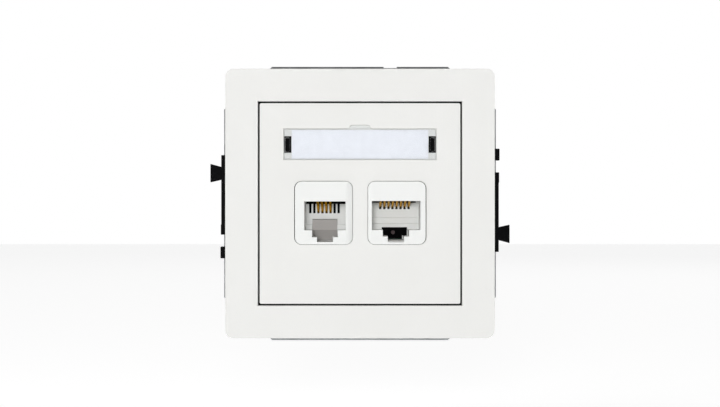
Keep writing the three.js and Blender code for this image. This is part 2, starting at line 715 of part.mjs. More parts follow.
function circuitBoard(jack) {
  const through = past(BOARD);
  const wireHoles = wirePlaces(jack).map((x) => rodAlongY(0.4, x, WIRE_HEIGHT, through));
  const bladeHoles = bladePlaces(jack).map(([x, z]) => rodAlongY(0.5, x, z, through));
  const board = block(across(HOUSING[0] - 0.3), BOARD, across(HOUSING[1] - 0.2));
  return cut(board, wireHoles, bladeHoles);
}

// Two rows of towers on a base, each cut by the conductor's slot and by the blade's pocket. Two
// arms reach forward over the housing.
function terminalBlock(jack) {
  const [front, back] = TERMINALS;
  const [halfWidth, halfHeight] = TERMINAL_HALF;
  const width = across(2 * halfWidth);
  const base = [front, front + 1.6];
  const towerInside = 3.6;
  const towers = SIDES.map((up) => block(width, TERMINALS, sided([towerInside, halfHeight], up)));
  const armWidth = across(5);
  const armDepth = [3.4, base[1]];
  const armThickness = [8, 8.8];
  const arms = SIDES.map((up) => block(armWidth, armDepth, sided(armThickness, up)));
  const body = join(
    block(width, base, across(2 * halfHeight)),
    block(armWidth, base, across(2 * armThickness[1])),
    towers,
    arms,
  );
  const conductorSlot = 0.9;
  const [pocketWidth, pocketHeight] = [2.7, 0.8];
  const tools = bladePlaces(jack).flatMap(([x, z]) => [
    block(moved(across(conductorSlot), x), [SLIT_BOTTOM, back + 1], moved(across(SLOT_REACH), z)),
    block(moved(across(pocketWidth), x), [front - 1, back + 1], moved(across(pocketHeight), z)),
  ]);
  return cut(body, tools);
}

// A forked blade: the conductor is pressed into its slit, and its tail goes through the board.
function blade([x, z]) {
  const [halfTail, halfBlade, halfSlit] = [0.3, 1.2, 0.15];
  const [shoulder, tip] = [9, 15.2];
  const [tipChamfer, throat] = [0.3, 0.9];
  const right = [
    [halfTail, BOARD[0] - 0.2],
    [halfTail, shoulder],
    [halfBlade, shoulder],
    [halfBlade, tip - tipChamfer],
    [halfBlade - tipChamfer, tip],
    [halfSlit + 0.4, tip],
    [halfSlit, tip - throat],
    [halfSlit, SLIT_BOTTOM],
  ];
  const left = right.map(([sideways, y]) => [-sideways, y]).reverse();
  const outline = polygon(...[...right, ...left].map(([sideways, y]) => [x + sideways, y]));
  const thickness = 0.5;
  return alongZ(outline, moved(across(thickness), z));
}

// The cap: a lid with pushers that go down into the conductors' slots, notches where the conductors
// leave, and an entry for the cable on each side.
function cap(jack) {
  const [front, roof, back] = [13.2, 17.1, 18.3];
  const inner = TERMINAL_HALF.map((half) => 2 * half + 0.4);
  const outer = TERMINAL_HALF.map((half) => 2 * half + 2);
  const cableEntry = { depth: [front - 1, 16.4], heights: across(5.2) };
  const notch = { width: 1.2, depth: [front - 1, 15.6] };
  const pusher = { width: 0.6, depth: [15.4, roof + 0.1], height: 2.6 };
  const shell = cut(
    alongY(roundedRectangle([...outer, 0.8]), [front, back]),
    block(across(inner[0]), [front - 1, roof], across(inner[1])),
    block(across(2 * outer[0]), cableEntry.depth, cableEntry.heights),
    bladePlaces(jack).map(([x, z]) =>
      block(moved(across(notch.width), x), notch.depth, moved(across(SLOT_REACH), z)),
    ),
  );
  const pushers = bladePlaces(jack).map(([x, z]) =>
    block(moved(across(pusher.width), x), pusher.depth, moved(across(pusher.height), z)),
  );
  return join(shell, pushers);
}

function jackGroup(jack) {
  const { prefix } = jack;
  const group = new THREE.Group();
  group.position.set(jack.place, 0, JACK_HEIGHT);
  group.add(piece(`${prefix}_housing`, housing(jack), JACK_WHITE));
  group.add(piece(`${prefix}_contact_block`, contactBlock(jack), BLACK_PLASTIC));
  if (jack.behindLatch) {
    group.add(piece(`${prefix}_latch_block`, latchBlock(jack), GREY_PLASTIC));
  }
  wirePlaces(jack).forEach((x, index) => {
    group.add(piece(`${prefix}_contact_${index + 1}`, springWire(jack, x), GOLD));
  });
  group.add(piece(`${prefix}_pcb`, circuitBoard(jack), CIRCUIT_BOARD));
  group.add(piece(`${prefix}_idc_block`, terminalBlock(jack), CAP_GREY));
  bladePlaces(jack).forEach((place, index) => {
    group.add(piece(`${prefix}_idc_blade_${index + 1}`, blade(place), TINNED));
  });
  group.add(piece(`${prefix}_cap`, cap(jack), CAP_GREY));
  return group;
}

// ---------------------------------------------------------------- assembly

const outlet = new THREE.Group();
outlet.add(piece("outer_frame", outerFrame(), WHITE_PLASTIC));
outlet.add(piece("centre_insert", centreInsert(), WHITE_PLASTIC));
outlet.add(piece("label_card", labelCard(), PAPER));
outlet.add(piece("label_window", labelWindow(), CLEAR_PLASTIC));
outlet.add(piece("support_plate", supportPlate(), GALVANISED));
outlet.add(piece("module_carrier", moduleCarrier(), BLACK_PLASTIC));
JACKS.forEach((jack) => outlet.add(jackGroup(jack)));

// The right side and the bottom are the left side and the top, turned half round.
for (const [side, turn] of [["left", 0], ["right", Math.PI]]) {
  const group = new THREE.Group();
  group.rotation.y = turn;
  group.add(piece(`coupler_${side}`, coupler(), BLACK_PLASTIC));
  outlet.add(group);
}
for (const [end, turn] of [["top", 0], ["bottom", Math.PI]]) {
  const group = new THREE.Group();
  group.rotation.y = turn;
  group.add(piece(`claw_${end}`, claw(), GALVANISED));
  group.add(piece(`claw_pin_${end}`, clawPin(), SCREW_ZINC));
  group.add(piece(`claw_screw_${end}`, clawScrew(), SCREW_ZINC));
  group.add(piece(`claw_nut_${end}`, clawNut(), SCREW_ZINC));
  outlet.add(group);
}

export default outlet;
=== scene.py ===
import json
import math

import bmesh
import bpy
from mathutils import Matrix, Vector

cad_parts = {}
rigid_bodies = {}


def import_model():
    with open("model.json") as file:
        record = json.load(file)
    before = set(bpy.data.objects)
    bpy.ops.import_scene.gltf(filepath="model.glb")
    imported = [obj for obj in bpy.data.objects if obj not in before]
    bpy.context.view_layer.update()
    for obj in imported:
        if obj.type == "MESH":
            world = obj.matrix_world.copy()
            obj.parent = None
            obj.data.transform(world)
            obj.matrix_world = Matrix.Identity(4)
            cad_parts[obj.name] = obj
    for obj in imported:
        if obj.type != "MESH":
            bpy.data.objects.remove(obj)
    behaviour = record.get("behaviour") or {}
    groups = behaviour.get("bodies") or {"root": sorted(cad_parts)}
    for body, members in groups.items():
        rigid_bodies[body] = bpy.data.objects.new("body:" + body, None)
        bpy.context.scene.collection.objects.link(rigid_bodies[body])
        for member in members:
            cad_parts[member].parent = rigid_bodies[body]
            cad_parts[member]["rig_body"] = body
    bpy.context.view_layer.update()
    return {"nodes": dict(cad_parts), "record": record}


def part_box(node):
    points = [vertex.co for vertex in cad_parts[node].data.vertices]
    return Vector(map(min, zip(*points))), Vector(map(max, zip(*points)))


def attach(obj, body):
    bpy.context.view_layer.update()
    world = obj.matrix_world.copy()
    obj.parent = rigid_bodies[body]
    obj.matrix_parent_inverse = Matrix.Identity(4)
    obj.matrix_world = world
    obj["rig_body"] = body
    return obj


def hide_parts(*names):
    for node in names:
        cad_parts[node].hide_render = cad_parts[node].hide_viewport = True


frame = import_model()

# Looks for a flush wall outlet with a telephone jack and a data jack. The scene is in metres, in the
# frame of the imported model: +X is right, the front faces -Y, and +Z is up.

NODES = frame["nodes"]
SLOTS = {part["node"]: part["material_slot"] for part in frame["record"]["subparts"]}
MM = 0.001

# ---------------------------------------------------------------- measures, in millimetres
# A depth is a place along Y. A reach is a distance from the outlet's axis, along X or Z.

FRONT = -10.0  # depth of the front faces of the cover and the insert
COVER_OUTLINE = 26.0  # the cover's front edges past this reach are its outline, the others its opening
INSERT_OUTLINE = 24.0  # the insert's front edges past this reach are its outline
LABEL_HEIGHT = 14.5
HOOK = (17.0, 2.0)  # the label window's hooks are past this in X, and this far up and down
HOOK_END = -6.6  # depth
RAIL_OUTSIDE = 34.4  # the couplers' rails reach a little past this

# A jack's centre, as (x, z). The rest is from there: the comb's middle, the height of the wires'
# ends, the ledges on the cavity's back wall, each its top and how far it stands out, and the side
# where the face curves back softly: which one, over what width, and how far.
JACKS = {
    "rj11": {
        "centre": (-8.87, -2.31),
        "wires": 4,
        "comb_shift": -0.08,
        "wire_end": 0.2,
        "ledges": [(-2.95, 1.6)],
        "soft_side": (1, 1.65, 0.8),
    },
    "rj45": {
        "centre": (9.0, -2.31),
        "wires": 8,
        "comb_shift": -0.33,
        "wire_end": 1.4,
        "ledges": [(-1.16, 0.8), (-2.65, 1.8)],
        "soft_side": (-1, 0.85, 0.4),
    },
}
CAVITY_BACK = 1.5  # depth
JACK_FRONT = -10.6  # depth
JACK_FACE = (14.1, 15.4, 1.7)  # width, height and corner radius
FACE_SKIN = 0.5  # corners less than this behind a jack's front move with its soft side
SOFT_STRIPS = 6
SOFT_POWER = 1.5  # above 1, the soft side curves back ever more steeply

WIRE_PITCH = 1.02
WIRE_HEIGHT = 4.41
WIRE_BEND = 0.75  # radius of the bend at the front
WIRE_BEND_STEPS = 22
WIRE_BEND_DEPTH = -5.6
WIRE_TAIL = 8.1  # depth of the rear end
WIRE_TIP = 2.2  # depth of the end in the comb
WIRE_SECTION = (0.28, 0.21)  # half width and half thickness
WIRE_SIDES = 16
WIRE_SQUARENESS = 0.8  # below 1, the section is squarer than an ellipse
BLUNT_LENGTH = 0.06  # of a wire's end
BLUNT_SHARE = 0.65  # of the section, left at the very end

PEG_PLACE = (8.33, -7.28)  # x and z
PEG_PROFILE = ((0.52, -0.1), (0.52, 0.12), (0.47, 0.22), (0.36, 0.3), (0.2, 0.35))  # radius, proud
PEG_SIDES = 24

CLAW_SCREW_HEIGHT = 21.0
THREAD = (-0.9, 7.5)  # depths, from the head to the tip
THREAD_PITCH = 0.5
THREAD_STEPS = 24  # in a turn
THREAD_ROOT = 1.3  # radius
THREAD_CREST = 1.45  # radius
THREAD_FOOT = 0.2  # half the ridge's width at its foot
THREAD_EDGE = 0.03  # and at its crest
THREAD_RUN_OUT = 0.15  # share of the ridge's height that is left at its ends

# Angles, and tolerances in millimetres.
BEND = math.radians(32)  # a sharper edge than this is rounded; flatter ones are facets of an arc
SMOOTH = math.radians(50)  # and an edge sharper than this is shaded sharp
FLAT = math.radians(1)  # faces that differ by less than this are one flat face
WELD = 0.0005  # corners closer than this are one corner
CUT_SNAP = 0.0001  # a corner closer to a cut than this is on it
SAME_PLACE = 0.01  # places that differ by less than this are the same
ON_OUTLINE = 0.04  # and for a jack's outline, as an edge's middle lies inside its corner's arc
MOSTLY = 0.9  # an edge follows an axis if more than this share of its length runs along it

# The nodes that keep their shape get one rounding, of this radius, or of the small one.
ROUNDED = {
    "label_card": 0.02,
    "support_plate": 0.12,
    "module_carrier": 0.12,
    "claw_pin_top": 0.15,
    "claw_pin_bottom": 0.15,
    "claw_nut_top": 0.15,
    "claw_nut_bottom": 0.15,
    "claw_top": 0.1,
    "claw_bottom": 0.1,
    "claw_screw_top": 0.1,
    "claw_screw_bottom": 0.1,
    "rj11_latch_block": 0.03,
    "rj11_contact_block": 0.05,
    "rj45_contact_block": 0.05,
    "rj11_idc_block": 0.1,
    "rj45_idc_block": 0.1,
    "rj11_cap": 0.1,
    "rj45_cap": 0.1,
}
SMALL_ROUNDING = 0.05

# ---------------------------------------------------------------- node materials


class Tree:
    """A node tree, and short ways to add nodes to it and link them."""

    def __init__(self, tree):
        self.tree = tree

    def add(self, kind, inputs=None, **settings):
        node = self.tree.nodes.new(kind)
        for setting, value in settings.items():
            setattr(node, setting, value)
        for socket, value in (inputs or {}).items():
            self.put(node.inputs[socket], value)
        return node

    def put(self, socket, value):
        if isinstance(value, bpy.types.NodeSocket):
            self.tree.links.new(value, socket)
        else:
            socket.default_value = value

    def compute(self, operation, *values):
        node = self.add("ShaderNodeMath", dict(enumerate(values)), operation=operation)
        return node.outputs["Value"]

    def between(self, factor, low, high, start=0.3, end=0.7, **settings):
        """A number that goes from low to high as factor goes from start to end."""
        inputs = {"Value": factor, "From Min": start, "From Max": end, "To Min": low, "To Max": high}
        return self.add("ShaderNodeMapRange", inputs, **settings).outputs["Result"]


MATERIALS = {}


class Recipe(Tree):
    """A material with one Principled shader, and what its colours and bumps are made of."""

    def __init__(self, name):
        material = MATERIALS[name] = bpy.data.materials.new(name)
        material.use_nodes = True
        super().__init__(material.node_tree)
        self.shader = self.tree.nodes["Principled BSDF"]
        self.place = self.add("ShaderNodeTexCoord").outputs["Object"]

    def set(self, **values):
        for name, value in values.items():
            self.put(self.shader.inputs[name.replace("_", " ")], value)

    def stretched(self, scale):
        """The object's coordinates, stretched by a scale for each axis."""
        mapping = self.add("ShaderNodeMapping", {"Vector": self.place, "Scale": scale})
        return mapping.outputs["Vector"]

    def noise(self, size, detail=3.0, roughness=0.55, scale=None):
        """Noise from 0 to 1, whose marks are size millimetres wide."""
        inputs = {
            "Vector": self.stretched(scale) if scale else self.place,
            "Scale": 1 / (size * MM),
            "Detail": detail,
            "Roughness": roughness,
        }
        return self.add("ShaderNodeTexNoise", inputs).outputs["Fac"]

    def broadside(self):
        """1 where the surface faces the front or the back, and 0 at a sheet's cut edges."""
        normal = self.add("ShaderNodeTexCoord").outputs["Normal"]
        facing = self.add("ShaderNodeSeparateXYZ", {"Vector": normal}).outputs["Y"]
        return self.compute("ABSOLUTE", facing)

    def blend(self, factor, first, second, start=0.3, end=0.7):
        """A colour that goes from first to second as factor goes from start to end."""
        node = self.add("ShaderNodeMix", data_type="RGBA")
        colours = [socket for socket in node.inputs if socket.type == "RGBA"]
        self.put(node.inputs["Factor"], self.between(factor, 0.0, 1.0, start, end))
        for socket, colour in zip(colours, (first, second)):
            self.put(socket, (*colour, 1.0) if isinstance(colour, tuple) else colour)
        return next(socket for socket in node.outputs if socket.type == "RGBA")

    def bump(self, height, depth, over=None):
        """A bump of depth millimetres, laid over an earlier one."""
        inputs = {"Height": height, "Distance": depth * MM, "Strength": 1.0}
        if over:
            inputs["Normal"] = over
        return self.add("ShaderNodeBump", inputs).outputs["Normal"]

    def mixed(self, share, below, above):
        """A shader that is above where share is 1, and below where it is 0."""
        node = self.add("ShaderNodeMixShader", {0: share, 1: below, 2: above})
        return node.outputs["Shader"]


def darker(colour, share):
    return tuple(share * part for part in colour)


def moulded(name, colour, dark, roughness, grain, depth, specular=0.5):
    """Moulded plastic: a fine spark-eroded grain, slow flow marks and slightly uneven gloss."""
    recipe = Recipe(name)
    flow = recipe.noise(14.0, detail=2.0, scale=(1.0, 1.0, 0.45))
    fine = recipe.noise(grain, detail=2.0)
    handled = recipe.noise(4.0, detail=4.0)
    tint = recipe.blend(flow, dark, colour)
    recipe.set(
        Specular_IOR_Level=specular,
        Base_Color=recipe.blend(fine, darker(dark, 0.985), tint, start=0.2, end=0.5),
        Roughness=recipe.between(handled, roughness - 0.05, roughness + 0.06),
        Normal=recipe.bump(fine, depth, over=recipe.bump(flow, 0.012)),
    )


def rolled_steel(name, light, dark, roughness):
    """Galvanised sheet: faint spangles, rolling lines, and duller sheared edges."""
    recipe = Recipe(name)
    spangles = {"Vector": recipe.place, "Scale": 1 / (2.2 * MM), "Randomness": 1.0}
    cells = recipe.add("ShaderNodeTexVoronoi", spangles).outputs["Color"]
    spangle = recipe.add("ShaderNodeSeparateColor", {"Color": cells}).outputs["Red"]
    lines = recipe.noise(0.5, scale=(1.0, 1.0, 0.04))
    dull = recipe.noise(6.0, detail=4.0)
    faces = recipe.blend(spangle, dark, light, start=0.0, end=1.0)
    stained = recipe.blend(dull, darker(dark, 0.8), faces, start=0.25, end=0.5)
    sheared = darker(dark, 0.62)
    recipe.set(
        Base_Color=recipe.blend(recipe.broadside(), sheared, stained, start=0.5, end=0.9),
        Metallic=1.0,
        Roughness=recipe.between(spangle, roughness - 0.07, roughness + 0.09, start=0.0, end=1.0),
        Normal=recipe.bump(dull, 0.01, over=recipe.bump(lines, 0.004)),
    )


def plated(name, light, dark, roughness, scale, edge=(1.0, 1.0, 1.0)):
    """Plated metal with drawing or turning lines along one axis, and darker worn patches."""
    recipe = Recipe(name)
    lines = recipe.noise(0.12, scale=scale)
    worn = recipe.noise(1.6, detail=4.0)
    recipe.set(
        Base_Color=recipe.blend(worn, dark, light, end=0.6),
        Specular_Tint=(*edge, 1.0),
        Metallic=1.0,
        Roughness=recipe.between(worn, roughness + 0.1, roughness - 0.04),
        Normal=recipe.bump(lines, 0.003),
    )


def clear_plastic(name):
    """Clear acrylic: it lets light through, mirrors some of it, and is milky where it turns away."""
    recipe = Recipe(name)
    haze = recipe.noise(1.5, detail=4.0)
    recipe.set(
        Base_Color=(0.9, 0.91, 0.92, 1.0),
        Metallic=1.0,
        Roughness=recipe.between(haze, 0.03, 0.09),
        Normal=recipe.bump(recipe.noise(5.0, detail=2.0), 0.01),
    )
    cloudy = recipe.blend(haze, (0.975, 0.98, 0.985), (0.985, 0.99, 0.995))
    through = recipe.add("ShaderNodeBsdfTransparent", {"Color": cloudy}).outputs["BSDF"]
    milk = {"Color": (0.75, 0.75, 0.74, 1.0)}
    milky = recipe.add("ShaderNodeBsdfDiffuse", milk).outputs["BSDF"]
    turned = recipe.add("ShaderNodeLayerWeight", {"Blend": 0.5}).outputs["Facing"]
    body = recipe.mixed(recipe.between(turned, 0.0, 0.6, start=0.1, end=0.5), through, milky)

    # Only the outside mirrors. Seen from the inside, total reflection would turn the window dark.
    mirroring = recipe.add("ShaderNodeFresnel", {"IOR": 1.49}).outputs["Fac"]
    behind = recipe.add("ShaderNodeNewGeometry").outputs["Backfacing"]
    glossy = recipe.compute("MULTIPLY", mirroring, recipe.compute("SUBTRACT", 1.0, behind))
    surface = recipe.mixed(glossy, body, recipe.shader.outputs["BSDF"])
    recipe.put(recipe.tree.nodes["Material Output"].inputs["Surface"], surface)


def paper(name):
    """Bluish white paper: short fibres, a cloudy tone and a soft tooth."""
    recipe = Recipe(name)
    fibres = recipe.noise(0.12, detail=4.0, roughness=0.7, scale=(0.35, 1.0, 1.0))
    tone = recipe.blend(recipe.noise(3.0), (0.83, 0.84, 0.875), (0.86, 0.87, 0.905))
    recipe.set(
        Base_Color=recipe.blend(fibres, (0.805, 0.815, 0.85), tone, start=0.2, end=0.45),
        Roughness=recipe.between(fibres, 0.8, 0.95),
        Normal=recipe.bump(fibres, 0.01),
    )


def circuit_board(name):
    """Green solder mask over a faint weave, with tan laminate at the cut edges."""
    recipe = Recipe(name)
    weave = recipe.noise(0.3, detail=2.0, scale=(1.0, 1.0, 0.3))
    cloud = recipe.noise(2.5)
    mask = recipe.blend(cloud, (0.008, 0.07, 0.028), (0.014, 0.11, 0.042))
    laminate = (0.33, 0.27, 0.12)
    recipe.set(
        Base_Color=recipe.blend(recipe.broadside(), laminate, mask, start=0.5, end=0.9),
        Roughness=recipe.between(cloud, 0.22, 0.4),
        Normal=recipe.bump(weave, 0.006),
    )


moulded(
    "white_plastic",
    colour=(0.79, 0.79, 0.772),
    dark=(0.772, 0.772, 0.752),
    roughness=0.45,
    grain=0.16,
    depth=0.004,
)
moulded(
    "jack_white",
    colour=(0.815, 0.825, 0.812),
    dark=(0.80, 0.81, 0.795),
    roughness=0.4,
    grain=0.1,
    depth=0.002,
)
clear_plastic("clear_plastic")
paper("paper")
moulded(
    "black_plastic",
    colour=(0.003, 0.003, 0.0034),
    dark=(0.0015, 0.0015, 0.002),
    roughness=0.55,
    grain=0.14,
    depth=0.008,
    specular=0.1,
)
moulded(
    "grey_plastic",
    colour=(0.46, 0.44, 0.425),
    dark=(0.42, 0.40, 0.385),
    roughness=0.5,
    grain=0.12,
    depth=0.004,
    specular=0.4,
)
moulded(
    "smoky_plastic",
    colour=(0.1, 0.075, 0.078),
    dark=(0.08, 0.06, 0.062),
    roughness=0.4,
    grain=0.1,
    depth=0.003,
    specular=0.4,
)
moulded(
    "terminal_plastic",
    colour=(0.62, 0.63, 0.63),
    dark=(0.58, 0.585, 0.58),
    roughness=0.48,
    grain=0.14,
    depth=0.005,
)
rolled_steel(
    "galvanised_steel",
    light=(0.55, 0.57, 0.58),
    dark=(0.43, 0.45, 0.46),
    roughness=0.4,
)
plated(
    "zinc_plated_steel",
    light=(0.72, 0.735, 0.76),
    dark=(0.56, 0.57, 0.56),
    roughness=0.24,
    scale=(1.0, 0.08, 1.0),
)
plated(
    "gold_plated_bronze",
    light=(0.56, 0.32, 0.07),
    dark=(0.34, 0.19, 0.04),
    roughness=0.1,
    scale=(1.0, 0.1, 0.1),
    edge=(0.9, 0.63, 0.26),
)
plated(
    "tinned_bronze",
    light=(0.74, 0.74, 0.71),
    dark=(0.6, 0.59, 0.55),
    roughness=0.3,
    scale=(1.0, 0.1, 1.0),
)
circuit_board("circuit_board")

# ---------------------------------------------------------------- pieces

REPLACED = set()  # the CAD nodes that a piece stands for


def body_of(node):
    return NODES[node]["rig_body"]


def placed(name, data):
    """A new object, put in the scene."""
    made = bpy.data.objects.new(name, data)
    bpy.context.scene.collection.objects.link(made)
    return made


def piece(name, shape, body, slot, stands_for=(), look=None):
    """A finished piece from a bmesh: shaded, given its material, and riding on its body."""
    mesh = bpy.data.meshes.new(name)
    shape.to_mesh(mesh)
    shape.free()
    for attribute in [a for a in mesh.attributes if a.name == "custom_normal"]:
        mesh.attributes.remove(attribute)
    mesh.polygons.foreach_set("use_smooth", [True] * len(mesh.polygons))
    mesh.set_sharp_from_angle(angle=SMOOTH)
    mesh.materials.clear()
    mesh.materials.append(MATERIALS[look or slot])
    mesh.polygons.foreach_set("material_index", [0] * len(mesh.polygons))
    made = placed(name, mesh)
    weighted = made.modifiers.new("flat faces", "WEIGHTED_NORMAL")
    weighted.keep_sharp = True
    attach(made, body)
    if stands_for:
        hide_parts(*stands_for)
        REPLACED.update(stands_for)


def cad_shape(node):
    """The CAD node's solid as a bmesh, with shared corners and flat faces without dents."""
    shape = bmesh.new()
    shape.from_mesh(NODES[node].data)
    bmesh.ops.remove_doubles(shape, verts=shape.verts, dist=WELD * MM)
    bmesh.ops.dissolve_limit(
        shape, angle_limit=FLAT, verts=shape.verts, edges=shape.edges, delimit=set()
    )
    bmesh.ops.connect_verts_concave(shape, faces=shape.faces)
    return shape


def middle(edge):
    """The middle of an edge, in millimetres."""
    return (edge.verts[0].co + edge.verts[1].co) / (2 * MM)


def lies_at(edge, depth):
    """Whether an edge lies in the plane at that depth."""
    return all(abs(vertex.co.y / MM - depth) < SAME_PLACE for vertex in edge.verts)


def along_y(edge):
    """Whether an edge runs from front to back."""
    return abs(edge.verts[0].co.y - edge.verts[1].co.y) > MOSTLY * edge.calc_length()


def reach(edge):
    """How far an edge's middle is from the outlet's axis, measured along X or Z."""
    place = middle(edge)
    return max(abs(place.x), abs(place.z))


def round_edges(shape, radius, segments, chosen=lambda edge: True, inside=False):
    """Rounds the outside edges that chosen picks, or the inside ones."""
    edges = [
        edge
        for edge in shape.edges
        if len(edge.link_faces) == 2
        and edge.is_convex != inside
        and edge.calc_face_angle() > BEND
        and chosen(edge)
    ]
    bmesh.ops.bevel(
        shape,
        geom=edges,
        offset=radius * MM,
        offset_type="OFFSET",
        segments=segments,
        profile=0.5,
        affect="EDGES",
        clamp_overlap=True,
    )
    bmesh.ops.remove_doubles(shape, verts=shape.verts, dist=WELD * MM)
    bmesh.ops.dissolve_degenerate(shape, dist=WELD * MM, edges=shape.edges)


def soften_side(shape, centre, side, width, drop):
    """Lets a jack's face curve back by drop towards one side, 1 for the right and -1 for the left."""
    edge = centre + side * JACK_FACE[0] / 2
    skin = (JACK_FRONT + FACE_SKIN) * MM
    for strip in range(SOFT_STRIPS):
        faces = [face for face in shape.faces if all(vertex.co.y < skin for vertex in face.verts)]
        parts = {part for face in faces for part in (*face.verts, *face.edges, face)}
        cut = edge - side * width * (1 - strip / SOFT_STRIPS)
        bmesh.ops.bisect_plane(
            shape,
            geom=list(parts),
            dist=CUT_SNAP * MM,
            plane_co=(cut * MM, 0.0, 0.0),
            plane_no=(1.0, 0.0, 0.0),
        )
    for vertex in shape.verts:
        past = 1 - abs(edge - vertex.co.x / MM) / width
        if past > 0 and vertex.co.y < skin:
            vertex.co.y += drop * past**SOFT_POWER * MM


def finished(node, *passes, soft=None):
    """The CAD node with its edges rounded pass by pass, and then one side of its face softened."""
    shape = cad_shape(node)
    for settings in passes:
        round_edges(shape, **settings)
    if soft:
        soften_side(shape, *soft)
    piece(f"{node}_rounded", shape, body_of(node), SLOTS[node], [node])


def front_parted(limit):
    """Three choices of edges: the front's past a reach, the front's within it, and all others."""

    def past(edge):
        return lies_at(edge, FRONT) and reach(edge) > limit

    def within(edge):
        return lies_at(edge, FRONT) and reach(edge) < limit

    def elsewhere(edge):
        return not lies_at(edge, FRONT)

    return past, within, elsewhere


def cover():
    """Softly rounded outside, and crisper round the opening."""
    outline, opening, elsewhere = front_parted(COVER_OUTLINE)
    finished(
        "outer_frame",
        dict(radius=0.7, segments=4, chosen=outline),
        dict(radius=0.22, segments=3, chosen=opening),
        dict(radius=0.12, segments=2, chosen=elsewhere),
    )


def insert():
    """Rounded like the cover's opening, with sharper windows and label pocket."""
    outline, windows, elsewhere = front_parted(INSERT_OUTLINE)
    finished(
        "centre_insert",
        dict(radius=0.22, segments=3, chosen=outline),
        dict(radius=0.06, segments=2, chosen=windows),
        dict(radius=0.06, segments=2, chosen=elsewhere),
    )


def label_window():
    """The clear window, whose hooks have well rounded corners and ends."""

    def hook_corner(edge):
        place = middle(edge)
        past, half_height = HOOK
        return along_y(edge) and abs(place.x) > past and abs(place.z - LABEL_HEIGHT) < half_height

    def hook_end(edge):
        return lies_at(edge, HOOK_END)

    def rest(edge):
        return not hook_corner(edge) and not hook_end(edge)

    finished(
        "label_window",
        dict(radius=0.4, segments=4, chosen=hook_corner),
        dict(radius=0.28, segments=4, chosen=hook_end),
        dict(radius=0.12, segments=3, chosen=rest),
    )


def coupler(side):
    """The rail and the dovetail have rounded corners, and fillets where they meet."""

    def corner(edge):
        return along_y(edge) and abs(middle(edge).x) > RAIL_OUTSIDE

    finished(
        f"coupler_{side}",
        dict(radius=0.3, segments=4, chosen=corner),
        dict(radius=0.4, segments=4, chosen=corner, inside=True),
        dict(radius=0.06, segments=2, chosen=lambda edge: not corner(edge)),
    )


def jack_housing(prefix):
    """Rounded round its face, less so at the plug's opening, and crisp inside."""
    centre_x, centre_z = JACKS[prefix]["centre"]
    width, height, corner = JACK_FACE
    tops = [(centre_z + top, CAVITY_BACK - proud) for top, proud in JACKS[prefix]["ledges"]]

    def on_outline(edge):
        place = middle(edge)
        past_x = max(abs(place.x - centre_x) - width / 2 + corner, 0.0)
        past_z = max(abs(place.z - centre_z) - height / 2 + corner, 0.0)
        return abs(math.hypot(past_x, past_z) - corner) < ON_OUTLINE

    def outline(edge):
        return lies_at(edge, JACK_FRONT) and on_outline(edge)

    def opening(edge):
        return lies_at(edge, JACK_FRONT) and not on_outline(edge)

    def ledge(edge):
        place = middle(edge)
        return any(abs(place.z - top) < SAME_PLACE and lies_at(edge, depth) for top, depth in tops)

    def inner(edge):
        return not lies_at(edge, JACK_FRONT) and not ledge(edge)

    finished(
        f"{prefix}_housing",
        dict(radius=0.48, segments=5, chosen=outline),
        dict(radius=0.1, segments=2, chosen=opening),
        dict(radius=0.16, segments=3, chosen=ledge),
        dict(radius=0.03, segments=2, chosen=inner),
        soft=(centre_x, *JACKS[prefix]["soft_side"]),
    )


def skinned(rings):
    """A closed bmesh over rings of points, each joined to the next, with a flat face at each end."""
    shape = bmesh.new()
    loops = [[shape.verts.new(point) for point in ring] for ring in rings]
    for first, second in zip(loops, loops[1:]):
        for index in range(len(first)):
            beside = (index + 1) % len(first)
            shape.faces.new((first[index], first[beside], second[beside], second[index]))
    shape.faces.new(reversed(loops[0]))
    shape.faces.new(loops[-1])
    bmesh.ops.recalc_face_normals(shape, faces=shape.faces)
    return shape


def circle(count):
    """The angles of count points round a circle."""
    return [math.tau * step / count for step in range(count)]


def swept(path, sideways, section):
    """A closed tube with blunted ends. Its section is a list of (along sideways, across it)."""
    rings = []
    for index, point in enumerate(path):
        before = path[max(index - 1, 0)]
        after = path[min(index + 1, len(path) - 1)]
        across = (after - before).normalized().cross(sideways)
        rings.append([point + sideways * u + across * v for u, v in section])

    def blunt(ring, point, beside):
        tip = point + (point - beside).normalized() * BLUNT_LENGTH * MM
        return [tip + (corner - point) * BLUNT_SHARE for corner in ring]

    first = blunt(rings[0], path[0], path[1])
    last = blunt(rings[-1], path[-1], path[-2])
    return skinned([first, *rings, last])


def squared(value):
    """A sine or cosine, pushed outwards so that an ellipse becomes squarer."""
    return math.copysign(abs(value) ** WIRE_SQUARENESS, value)


